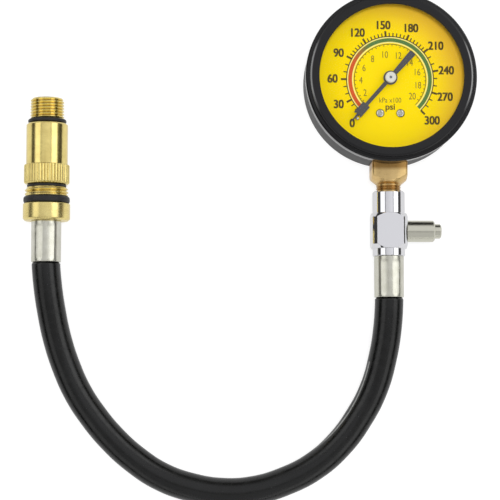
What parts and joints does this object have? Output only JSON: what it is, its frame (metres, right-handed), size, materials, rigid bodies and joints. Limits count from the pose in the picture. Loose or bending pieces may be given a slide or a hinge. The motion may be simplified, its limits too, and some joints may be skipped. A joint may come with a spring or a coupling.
{
  "type": "engine compression tester",
  "caption": "Hose-type engine compression tester: round dial gauge on a tee with a pressure-release button, a looped rubber hose and a brass threaded plug end with a long-reach adapter.",
  "frame": {"origin": "middle of the gauge's flat case back, which lies on the table", "axes": "+Z out of the dial, +Y towards the top of the dial, so the stem leaves along -Y and the hose loops round to -X"},
  "size_m": [0.1876, 0.2122, 0.0265],
  "materials": {
    "black_enamel": "gloss black enamel",
    "dial_paint": "semi-gloss yellow print",
    "window": "clear window",
    "brass": "machined",
    "bright_brass": "bright turned",
    "chrome": "polished plate",
    "nickel": "satin plate",
    "hub_nickel": "turned",
    "pointer_paint": "satin grey",
    "hose_rubber": "smooth cover",
    "seal_rubber": "moulded",
    "spring_steel": "drawn wire"
  },
  "bodies": {
    "gauge": {"case": "black_enamel", "case_screws": "nickel", "socket": "brass", "bourdon_tube": "brass", "movement_back_plate": "brass", "movement_pillars": "brass", "movement_front_plate": "brass", "movement_screws": "nickel", "hairspring": "spring_steel", "dial_posts": "brass", "dial_plate": "dial_paint", "dial_screws": "chrome", "stop_pin": "chrome", "lens_gasket": "seal_rubber", "lens": "window", "bezel": "black_enamel", "tee_body": "chrome", "valve_sleeve": "nickel", "release_spring": "spring_steel", "gauge_ferrule": "nickel", "hose": "hose_rubber", "far_ferrule": "nickel", "hose_end": "bright_brass", "collar_seal": "seal_rubber", "spigot_seal": "seal_rubber", "check_valve_body": "brass", "check_valve_spring": "spring_steel"},
    "pointer": {"pointer": "pointer_paint", "pointer_hub": "hub_nickel", "pinion": "spring_steel"},
    "sector": {"sector_gear": "brass"},
    "link": {"link": "brass"},
    "tube_tip": {"tube_tip": "brass"},
    "release_button": {"release_button": "chrome", "release_seal": "seal_rubber"},
    "check_valve": {"check_valve_pin": "chrome", "check_valve_seal": "seal_rubber"},
    "adapter_ring": {"adapter_seal": "seal_rubber"},
    "adapter": {"adapter": "bright_brass"}
  },
  "joints": [
    {"name": "pointer_turn", "type": "hinge", "parent": "gauge", "child": "pointer", "pos_m": [0, 0, 0.012], "axis": [0, 0, -1], "range_deg": [0, 274], "stiffness_Nm_per_rad": 0.00002, "deforming": ["hairspring"]},
    {"name": "sector_turn", "type": "hinge", "parent": "gauge", "child": "sector", "pos_m": [0.00929, -0.01327, 0.012], "axis": [0, 0, -1], "range_deg": [-34.3, 0]},
    {"name": "link_turn", "type": "hinge", "parent": "sector", "child": "link", "pos_m": [0.01306, -0.01794, 0.012], "axis": [0, 0, -1], "range_deg": [0, 34.3]},
    {"name": "tube_tip_slide", "type": "slide", "parent": "gauge", "child": "tube_tip", "axis": [0.5592, 0.829, 0], "range_m": [0, 0.00353], "deforming": ["bourdon_tube"]},
    {"name": "release_press", "type": "slide", "parent": "gauge", "child": "release_button", "axis": [-1, 0, 0], "range_m": [0, 0.0018], "stiffness_N_per_m": 1000, "springref_m": -0.002, "deforming": ["release_spring"]},
    {"name": "check_valve_open", "type": "slide", "parent": "gauge", "child": "check_valve", "axis": [0, -1, 0], "range_m": [0, 0.001], "stiffness_N_per_m": 200, "springref_m": -0.001, "deforming": ["check_valve_spring"]},
    {"name": "adapter_travel", "type": "slide", "parent": "gauge", "child": "adapter_ring", "axis": [0, 1, 0], "range_m": [0, 0.01]},
    {"name": "adapter_turn", "type": "hinge", "parent": "adapter_ring", "child": "adapter", "pos_m": [-0.1426, -0.03, 0.00975], "axis": [0, 1, 0], "range_deg": [0, 2880.1]}
  ],
  "couplings": [
    {"joint": "pointer_turn", "follows": "tube_tip_slide", "rad_per_m": 1353.4},
    {"joint": "sector_turn", "follows": "tube_tip_slide", "rad_per_m": -169.17},
    {"joint": "link_turn", "follows": "tube_tip_slide", "rad_per_m": 169.17},
    {"joint": "adapter_turn", "follows": "adapter_travel", "rad_per_m": 5026.5}
  ]
}
